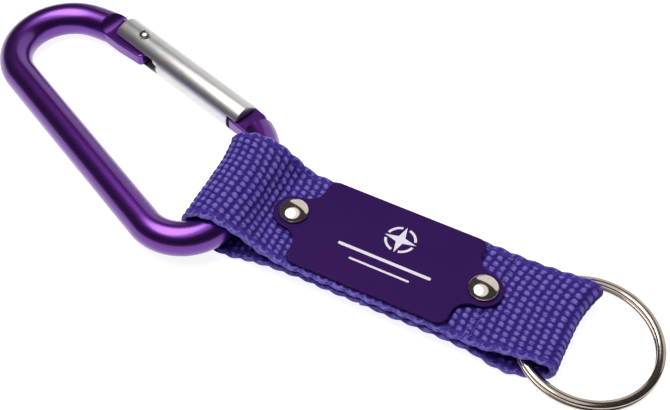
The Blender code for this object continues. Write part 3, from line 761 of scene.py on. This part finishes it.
def smooth_path(controls, count, fine=24):
    """A Catmull-Rom curve through the controls, as count points evenly spaced along it."""
    controls = np.asarray(controls, float)
    padded = np.vstack([2 * controls[0] - controls[1], controls, 2 * controls[-1] - controls[-2]])
    steps = np.linspace(0.0, 1.0, fine, endpoint=False)[:, None]
    pieces = []
    for a, b, c, d in zip(padded, padded[1:], padded[2:], padded[3:]):
        pieces.append(0.5 * (2 * b + (c - a) * steps + (2 * a - 5 * b + 4 * c - d) * steps ** 2
                             + (3 * b - a - 3 * c + d) * steps ** 3))
    dense = np.vstack([*pieces, controls[-1:]])
    length = np.concatenate([[0.0], np.cumsum(np.linalg.norm(np.diff(dense, axis=0), axis=1))])
    wanted = np.linspace(0.0, length[-1], count)
    return np.stack([np.interp(wanted, length, dense[:, axis]) for axis in (0, 1)], 1), length[-1]


def strap_surface(near, middle, far, across, count):
    """Mid-surface points of half the strap, one row per place across it, and its length."""
    near, middle, far = (np.asarray(side, float) * MM for side in (near, middle, far))
    rows = []
    lengths = []
    for place in across:
        share = abs(place) / (WEB_WIDTH / 2)
        side = far if place > 0 else near
        controls = middle + (side - middle) * share ** EDGE_POWER
        points, length = smooth_path(controls, count)
        rows.append(np.stack([points[:, 0], np.full(count, place), points[:, 1]], 1))
        lengths.append(length)
    return np.stack(rows), float(np.mean(lengths))


def scatter(first, second):
    """A fixed pseudo-random number, 0 to 1, for each pair of whole numbers."""
    mixed = np.sin(first * 12.9898 + second * 78.233) * 43758.5453
    return mixed - np.floor(mixed)


def weave_height(along, across):
    """Height of the woven relief, 0 to 1, at places along and across the strap, also used as painted
    light: high crowns painted light, low valleys painted as shade.
    """
    column = along / PICK
    row = across / YARN
    height = np.zeros(np.broadcast(along, across).shape)
    for step in (-1, 0, 1):
        pick = np.floor(column) + step
        shifted = row + pick / 3.0
        for side in (-1, 0, 1):
            yarn = np.floor(shifted) + side
            off_along = (column - pick - 0.5) * PICK
            off_across = (shifted - yarn - 0.5) * YARN
            off_along = off_along + (scatter(pick, yarn) - 0.5) * JITTER
            off_across = off_across + (scatter(yarn, pick) - 0.5) * JITTER
            slanted = off_across + CROWN_SLANT * off_along
            reach = (np.abs(off_along / CROWN_LENGTH) ** CROWN_SQUARENESS
                     + np.abs(slanted / CROWN_WIDTH) ** CROWN_SQUARENESS)
            crown_height_and_painted_shade = np.clip(1.0 - reach, 0.0, 1.0) ** CROWN_ROUNDNESS
            uneven = 1.0 - CROWN_VARIATION * scatter(pick + 7, yarn)
            height = np.maximum(height, crown_height_and_painted_shade * uneven)
    return height


def selvedge_height(along, across):
    """Weft loops along the strap's two edges, 0 to 1. Each is open on its inner side. Like the
    weave's, their height is also painted as light and shade, and the rim along the very edge is
    painted lighter.
    """
    from_edge = WEB_WIDTH / 2 - np.abs(across)
    index = np.floor(along / LOOP_PITCH)
    off_along = (along / LOOP_PITCH - index - 0.5) * LOOP_PITCH
    off_along = off_along + (scatter(index, np.sign(across)) - 0.5) * 3 * JITTER
    reach = np.sqrt((off_along / LOOP_STRETCH) ** 2 + (from_edge - LOOP_FROM_EDGE) ** 2)
    loop = np.exp(-((reach - LOOP_RADIUS) / LOOP_WIDTH) ** 2)
    outer_side = np.clip(1.1 - (from_edge - LOOP_FADE_FROM) / LOOP_FADE_LENGTH, 0.25, 1.0)
    strength = LOOP_STRENGTH + LOOP_STRENGTH_SPREAD * scatter(index + 3, np.sign(across))
    between = BETWEEN_LOOPS * np.abs(off_along) / LOOP_PITCH
    rim = RIM_HEIGHT * np.clip(1.0 - from_edge / RIM_WIDTH, 0.0, 1.0)
    return np.clip(strength * loop * outer_side + between + rim + SELVEDGE_BASE, 0.0, 1.0)


def relief(along, across):
    """Height of the whole relief, 0 to 1: the weave, and the loops along both edges. It is also
    painted as light and shade on the webbing.
    """
    from_edge = WEB_WIDTH / 2 - np.abs(across)
    edge = np.clip((SELVEDGE - from_edge) / SELVEDGE_BLEND + 0.5, 0.0, 1.0)
    return weave_height(along, across) * (1 - edge) + selvedge_height(along, across) * edge


def grid_normals(grid):
    along = np.gradient(grid, axis=1)
    across = np.gradient(grid, axis=0)
    normals = np.cross(along, across)
    return normals / np.linalg.norm(normals, axis=2, keepdims=True)


def slow_wave(along, across, seed):
    """Gentle unevenness of the cloth, about -1 to 1."""
    generator = random.Random(seed)
    total = 0.0
    for _ in range(6):
        turn = generator.uniform(0.0, FULL)
        wave = FULL / generator.uniform(4.0 * MM, 14.0 * MM)
        phase = generator.uniform(0.0, FULL)
        total = total + np.sin(wave * (along * math.cos(turn) + across * math.sin(turn)) + phase)
    return total / 3.5


def grid_faces(index):
    corner = index[:-1, :-1]
    return np.stack([corner, index[1:, :-1], index[1:, 1:], index[:-1, 1:]], -1).reshape(-1, 4)


def stitch_rows(fine, coarse):
    """Triangles between an edge of 2n+1 points and an edge of n+1 points."""
    faces = []
    for place in range(len(coarse) - 1):
        first, middle, last = fine[2 * place], fine[2 * place + 1], fine[2 * place + 2]
        here, after = coarse[place], coarse[place + 1]
        faces += [(first, middle, here), (middle, last, after), (middle, after, here)]
    return faces


def make_strap_half(name, sides, outward, narrowing, seed):
    """Half of the strap: out from under the plate's middle, round its loop and back below.

    Rows and columns are odd in number, because the inner face has every second one.
    """
    across = np.linspace(-WEB_WIDTH / 2, WEB_WIDTH / 2, YARNS * YARN_SAMPLES + 2)
    _, length = strap_surface(*sides, [0.0], 400)
    picks = round(length / PICK)
    count = 2 * (picks * PICK_SAMPLES // 2) + 1
    grid, length = strap_surface(*sides, across, count)
    along = np.linspace(0.0, picks * PICK, count)[None, :] * outward
    places = across[:, None]
    normals = grid_normals(grid) * outward
    grid = grid + normals * (slow_wave(along, places, seed) * WAVE)[:, :, None]
    scallop = np.abs(np.sin(math.pi * along / LOOP_PITCH)) * SCALLOP
    uneven = slow_wave(along, 0 * places, seed + 1) * EDGE_WAVE
    outer_share = (np.abs(places) / (WEB_WIDTH / 2)) ** 8
    grid[:, :, 1] += (uneven + scallop) * np.sign(places) * outer_share
    distance = np.abs(grid[:, :, 0])
    on_top = np.clip((distance - TOP_NARROWING[0]) / TOP_NARROWING[1], 0.0, 1.0)
    below = np.clip((distance - LOWER_NARROWING[0]) / LOWER_NARROWING[1], 0.0, 1.0)
    near_share = np.clip(-places / (WEB_WIDTH / 2), 0.0, 1.0)
    to_top = np.clip((grid[:, :, 2] - LOWER_RUN) / (UPPER_RUN - LOWER_RUN), 0.0, 1.0)
    to_fold = on_top * to_top + below * (1.0 - to_top)
    grid[:, :, 1] += narrowing * to_fold * near_share ** 2
    from_edge = np.clip((WEB_WIDTH / 2 - np.abs(places)) / EDGE_ROUND, 0.0, 1.0)
    swell = np.sqrt(1 - (1 - from_edge) ** 2)
    height = relief(along, places)
    outer_level = (WEB_THICKNESS / 2 - RELIEF * (1 - height)) * swell
    outer = grid + normals * outer_level[:, :, None]
    inner_height = relief(along + PICK / 2, places)[::2, ::2]
    inner_level = (WEB_THICKNESS / 2 - RELIEF * (1 - inner_height)) * swell[::2]
    inner = grid[::2, ::2] - normals[::2, ::2] * inner_level[:, :, None]
    outer_index = np.arange(outer.shape[0] * outer.shape[1]).reshape(outer.shape[:2])
    inner_index = np.arange(inner.shape[0] * inner.shape[1]).reshape(inner.shape[:2])
    inner_index = inner_index + outer_index.size
    faces = [tuple(face) for face in grid_faces(outer_index).tolist()]
    faces += [tuple(reversed(face)) for face in grid_faces(inner_index).tolist()]
    faces += stitch_rows(outer_index[0], inner_index[0])
    faces += stitch_rows(outer_index[-1][::-1], inner_index[-1][::-1])
    faces += stitch_rows(outer_index[::-1, 0], inner_index[::-1, 0])
    faces += stitch_rows(outer_index[:, -1], inner_index[:, -1])
    points = np.vstack([outer.reshape(-1, 3), inner.reshape(-1, 3)])
    mesh = mesh_from_faces(name, points.tolist(), faces)
    work = bmesh.new()
    work.from_mesh(mesh)
    bmesh.ops.recalc_face_normals(work, faces=work.faces)
    work.to_mesh(mesh)
    work.free()
    # The relief's height goes to the material as painted light and shade: lighter on the crowns,
    # darker in the valleys.
    crown_height_and_painted_shade = mesh.attributes.new("crown_height_and_painted_shade", "FLOAT", "POINT")
    shade = np.concatenate([height.ravel(), inner_height.ravel()]) ** SHADE_POWER
    crown_height_and_painted_shade.data.foreach_set("value", shade.astype(np.float32))
    item = link(name, mesh, STRAP_FRAME)
    finish_mesh(item, MATERIALS["web"], math.radians(89.0))
    return item, length


def make_webbing():
    left, left_length = make_strap_half("webbing_carabiner_end",
                                        (LEFT_NEAR, LEFT_MIDDLE, LEFT_FAR), -1, 0.0, 11)
    right, right_length = make_strap_half("webbing_ring_end",
                                          (RIGHT_NEAR, RIGHT_MIDDLE, RIGHT_FAR), 1,
                                          RING_END_NARROWING, 23)
    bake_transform(left)
    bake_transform(right)
    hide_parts("strap_carabiner_loop", "strap_middle")
    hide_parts("strap_ring_loop")


# ---------------------------------------------------------------- plate, print and rivets

def plate_outline(fine=3):
    """Outline of the plate, from the ear's tip at +X round by +Y."""
    half_length = PLATE_LENGTH / 2
    half_width = PLATE_WIDTH / 2
    ear_x = RIVET_SPACING / 2
    fillet_x = half_length + EAR_FILLET_RADIUS
    spread = math.acos((fillet_x - ear_x) / (EAR_RADIUS + EAR_FILLET_RADIUS))
    fillet_y = (EAR_RADIUS + EAR_FILLET_RADIUS) * math.sin(spread)
    ear = arc((ear_x, 0.0), EAR_RADIUS, 0.0, spread, 8 * fine)
    fillet = arc((fillet_x, fillet_y), EAR_FILLET_RADIUS, spread + math.pi, math.pi, 5 * fine)
    corner = arc((half_length - PLATE_CORNER_RADIUS, half_width - PLATE_CORNER_RADIUS),
                 PLATE_CORNER_RADIUS, 0.0, QUARTER, 5 * fine)
    quarter = ear + fillet[1:] + corner
    half = quarter + [(-x, y) for x, y in reversed(quarter)]
    return half[:-1] + [(x, -y) for x, y in reversed(half)][:-1]


def make_plate():
    holes = [arc((side * RIVET_SPACING / 2, 0.0), RIVET_HOLE_RADIUS, 0.0, FULL, 48)[:-1]
             for side in (-1, 1)]
    plate = prism("name_plate", plate_outline(), PLATE_BOTTOM_Z,
                  PLATE_BOTTOM_Z + PLATE_THICKNESS, STRAP_FRAME, holes)
    bevel(plate, PLATE_EDGE, angle=math.radians(50.0))
    finish_mesh(plate, MATERIALS["plate"], math.radians(12.0))
    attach(plate, "strap")
    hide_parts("plate")


def ring_outline(centre, outer, inner, start, end, steps):
    """Outline of a part of a flat ring."""
    return (arc(centre, outer, start, end, steps)
            + list(reversed(arc(centre, inner, start, end, steps))))


def rounded_bar(centre, length, height):
    """Outline of a bar with round ends."""
    half = length / 2 - height / 2
    right = arc((centre[0] + half, centre[1]), height / 2, -QUARTER, QUARTER, 8)
    left = arc((centre[0] - half, centre[1]), height / 2, QUARTER, 3 * QUARTER, 8)
    return right + left


def star_outline(centre, points, outer, inner):
    """A star whose first point is at the top."""
    result = []
    for step in range(2 * points):
        radius = outer if step % 2 == 0 else inner
        angle = QUARTER + math.pi * step / points
        result.append((centre[0] + radius * math.cos(angle),
                       centre[1] + radius * math.sin(angle)))
    return result


INK_HALF = 0.02 * MM
MARK_CENTRE = (1.2 * MM, 2.9 * MM)
STAR_RADII = (2.9 * MM, 0.85 * MM)
MARK_RING_RADII = (2.75 * MM, 2.3 * MM)
MARK_RING_GAP = math.radians(28.0)

# The printed bars, as (middle, length, height)
BARS = (((0.6 * MM, -2.3 * MM), 17.0 * MM, 0.6 * MM),
        ((0.6 * MM, -4.4 * MM), 11.0 * MM, 0.4 * MM))


def make_print():
    """A plain printed mark of the builder's own: a four-pointed star in a ring over two bars."""
    low = PLATE_BOTTOM_Z + PLATE_THICKNESS - INK_HALF
    high = PLATE_BOTTOM_Z + PLATE_THICKNESS + INK_HALF
    outlines = [star_outline(MARK_CENTRE, 4, *STAR_RADII)]
    for quarter in range(4):
        start = quarter * QUARTER + MARK_RING_GAP / 2
        outlines.append(ring_outline(MARK_CENTRE, *MARK_RING_RADII, start,
                                     start + QUARTER - MARK_RING_GAP, 12))
    for bar in BARS:
        outlines.append(rounded_bar(*bar))
    mark = None
    for outline in outlines:
        shape = prism("printed_mark", outline, low, high, STRAP_FRAME)
        if mark is None:
            mark = shape
            continue
        work = bmesh.new()
        work.from_mesh(mark.data)
        work.from_mesh(shape.data)
        work.to_mesh(mark.data)
        work.free()
        bpy.data.objects.remove(shape, do_unlink=True)
    finish_mesh(mark, MATERIALS["print"])
    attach(mark, "strap")


def make_rivets():
    """Two rivets through the plate's ears, each a hollow cap above and a post with its foot."""
    cap_z = PLATE_BOTTOM_Z + PLATE_THICKNESS + RIVET_CAP_GAP
    socket_top = cap_z + RIVET_SOCKET_SHARE * RIVET_CAP_HEIGHT
    post_top = socket_top - RIVET_POST_GAP
    for name, side in (("left", -1), ("right", 1)):
        matrix = STRAP_FRAME @ Matrix.Translation((side * RIVET_SPACING / 2, 0.0, 0.0))
        profile = dome(RIVET_CAP_RADIUS, cap_z + RIVET_CAP_RIM,
                       RIVET_CAP_HEIGHT - RIVET_CAP_RIM, 24)
        profile += [(RIVET_CAP_RADIUS, cap_z), (RIVET_HOLE_RADIUS, cap_z),
                    (RIVET_HOLE_RADIUS, socket_top), (0.0, socket_top)]
        cap = turned(name + "_cap", profile, matrix, 96)
        foot = [(radius, RIVET_BACK_Z - height) for radius, height
                in reversed(dome(RIVET_CAP_RADIUS, 0.0, RIVET_BACK_HEIGHT, 24))]
        profile = [(0.0, post_top), (RIVET_POST_RADIUS, post_top),
                   (RIVET_POST_RADIUS, RIVET_BACK_Z)] + foot
        post = turned(name + "_post", profile, matrix, 96)
        for item, node in ((cap, name + "_rivet_cap"), (post, name + "_rivet_post")):
            finish_mesh(item, MATERIALS["rivet"], math.radians(35.0))
            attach(item, "strap")
            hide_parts(node)


# ---------------------------------------------------------------- split ring

def ring_height(angle):
    """Height of the wire's middle at an angle along its winding: two flat turns and a step."""
    pitch = RING_WIRE_HEIGHT + RING_TURN_GAP
    progress = (angle - FULL + RING_STEP_HALF_ANGLE) / (2 * RING_STEP_HALF_ANGLE)
    progress = min(1.0, max(0.0, progress))
    ease = progress * progress * (3 - 2 * progress)
    return pitch * (ease - 0.5)


def flattened(value):
    """A sine or cosine made a little squarer, for the section of the ring's flat wire."""
    return math.copysign(abs(value) ** RING_SECTION_POWER, value)


def make_ring():
    """Nearly two turns of flat wire, one above the other, with a step between them."""
    start = RING_STEP_HALF_ANGLE
    end = 2 * FULL - RING_STEP_HALF_ANGLE
    centres = []
    outward = []
    for step in range(RING_LENGTH_STEPS + 1):
        angle = start + (end - start) * step / RING_LENGTH_STEPS
        place = angle + RING_STEP_PLACE
        out = Vector((math.cos(place), math.sin(place), 0.0))
        outward.append(out)
        centres.append(out * RING_MEAN_RADIUS + Vector((0.0, 0.0, ring_height(angle))))
    section = []
    for step in range(RING_SECTION_POINTS):
        angle = FULL * step / RING_SECTION_POINTS
        section.append((RING_WIRE_WIDTH / 2 * flattened(math.cos(angle)),
                        RING_WIRE_HEIGHT / 2 * flattened(math.sin(angle))))
    up = [Vector((0.0, 0.0, 1.0))] * len(centres)
    ring = swept("key_ring_wire", centres, section, outward, up, RING_FRAME)
    finish_mesh(ring, MATERIALS["ring"], math.radians(50.0))
    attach(ring, "ring")
    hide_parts("key_ring")


# ---------------------------------------------------------------- sewing thread

THREAD_RADIUS = 0.17 * MM
STITCH_PITCH = 1.62 * MM
STITCH_FIRST_Y = -9.0 * MM
STITCH_LAST_Y = 9.2 * MM

# In mm, and the lean in mm of x for each mm of y
STITCH_ROW_X = 18.6
STITCH_ROW_SPACING = 0.9
STITCH_ROW_LEAN = 0.05
STITCH_TOP_Z = 4.75
STITCH_DIP = 0.5
STITCH_HALF_LENGTHS = (0.65, 0.85)

# In degrees
STITCH_SLANTS = (8.0, 26.0)


def make_stitches():
    """Two rows of slanted stitches across the strap, beside the right ear of the plate."""
    generator = random.Random(5)
    pieces = bmesh.new()
    section = arc((0.0, 0.0), THREAD_RADIUS, 0.0, FULL, 8)[:-1]
    for row in range(2):
        place = STITCH_FIRST_Y
        while place < STITCH_LAST_Y:
            x = (STITCH_ROW_X + STITCH_ROW_SPACING * row + STITCH_ROW_LEAN * place / MM) * MM
            slant = math.radians(generator.uniform(*STITCH_SLANTS))
            half = generator.uniform(*STITCH_HALF_LENGTHS) * MM
            centres = []
            for step in range(9):
                share = step / 4 - 1.0
                centres.append(Vector((x + half * share * math.sin(slant),
                                       place + half * share * math.cos(slant),
                                       (STITCH_TOP_Z - STITCH_DIP * share ** 4) * MM)))
            tangents = tangents_of(centres)
            side = [tangent.cross(Vector((0.0, 0.0, 1.0))).normalized() for tangent in tangents]
            up = [first.cross(second) for first, second in zip(side, tangents)]
            stitch = swept("stitch", centres, section, side, up)
            pieces.from_mesh(stitch.data)
            bpy.data.objects.remove(stitch, do_unlink=True)
            place += STITCH_PITCH
    mesh = bpy.data.meshes.new("stitching")
    pieces.to_mesh(mesh)
    pieces.free()
    item = link("stitching", mesh, STRAP_FRAME)
    finish_mesh(item, MATERIALS["thread"])
    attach(item, "strap")


# ---------------------------------------------------------------- stage, lights and camera

CAMERA_AZIMUTH = math.radians(24.9)
CAMERA_ELEVATION = math.radians(51.0)
CAMERA_ROLL = math.radians(2.1)
CAMERA_DISTANCE = 258.2 * MM
CAMERA_TARGET = Vector((-12.5, 5.8, 4.0)) * MM
CAMERA_LENS = 80.6
SENSOR_WIDTH = 36.0
FLOOR_HALF = 3.0

# Each light's name, size, place, radiance and colour
LIGHTS = (("overhead", (0.95, 0.74), (-0.08, -0.02, 0.72), 1.05, (1.0, 0.95, 0.9)),
          ("bright_middle", (0.60, 0.42), (-0.17, -0.03, 0.64), 5.2, (1.0, 0.93, 0.84)),
          ("back_wall", (1.9, 1.0), (0.15, 1.0, 0.46), 0.9, (1.0, 0.95, 0.91)))


def make_camera():
    """The camera, placed by where it looks and the angles that it looks from."""
    back = Vector((math.sin(CAMERA_AZIMUTH) * math.cos(CAMERA_ELEVATION),
                   -math.cos(CAMERA_AZIMUTH) * math.cos(CAMERA_ELEVATION),
                   math.sin(CAMERA_ELEVATION)))
    level = Vector((math.cos(CAMERA_AZIMUTH), math.sin(CAMERA_AZIMUTH), 0.0))
    upright = back.cross(level)
    right = level * math.cos(CAMERA_ROLL) + upright * math.sin(CAMERA_ROLL)
    camera = bpy.data.objects.new("camera", bpy.data.cameras.new("camera"))
    bpy.context.scene.collection.objects.link(camera)
    camera.matrix_world = frame_matrix(STRAP_ORIGIN + CAMERA_TARGET + back * CAMERA_DISTANCE,
                                       right, back)
    camera.data.lens = CAMERA_LENS
    camera.data.sensor_width = SENSOR_WIDTH
    camera.data.clip_start = 10 * MM
    bpy.context.scene.camera = camera


def make_light(name, size, place, radiance, colour):
    """An oval soft box that faces the object. Its radiance doesn't depend on its size."""
    data = bpy.data.lights.new(name, "AREA")
    data.shape = "ELLIPSE"
    data.size, data.size_y = size
    data.energy = radiance * math.pi * math.pi / 4 * size[0] * size[1]
    data.color = colour
    light = bpy.data.objects.new(name, data)
    bpy.context.scene.collection.objects.link(light)
    light.location = place
    light.rotation_euler = Vector(place).to_track_quat("Z", "Y").to_euler()


def make_stage():
    """A glowing white table, a soft overhead light with a bright middle, and a beige back wall."""
    corners = [(x * FLOOR_HALF, y * FLOOR_HALF, 0.0) for x, y in ((-1, -1), (1, -1), (1, 1), (-1, 1))]
    floor = link("floor", mesh_from_faces("floor", corners, [(0, 1, 2, 3)]))
    material = new_material("white_table", (0.4, 0.4, 0.4), 0.9, 0.0, Specular_IOR_Level=0.1,
                            Emission_Color=(1.0, 0.99, 0.98, 1.0), Emission_Strength=0.88)
    floor.data.materials.append(material)
    world = bpy.data.worlds.new("studio")
    world.use_nodes = True
    background = world.node_tree.nodes["Background"]
    background.inputs["Color"].default_value = (0.95, 0.92, 0.95, 1.0)
    background.inputs["Strength"].default_value = 0.06
    bpy.context.scene.world = world
    bpy.context.scene.view_settings.view_transform = "Standard"
    for light in LIGHTS:
        make_light(*light)


make_carabiner_body()
make_gate()
make_gate_pin()
make_spring()
make_ring()
make_webbing()
make_plate()
make_print()
make_rivets()
make_stitches()
finish_mesh(frame["nodes"]["gate_plunger"], MATERIALS["plunger"])
make_stage()
make_camera()
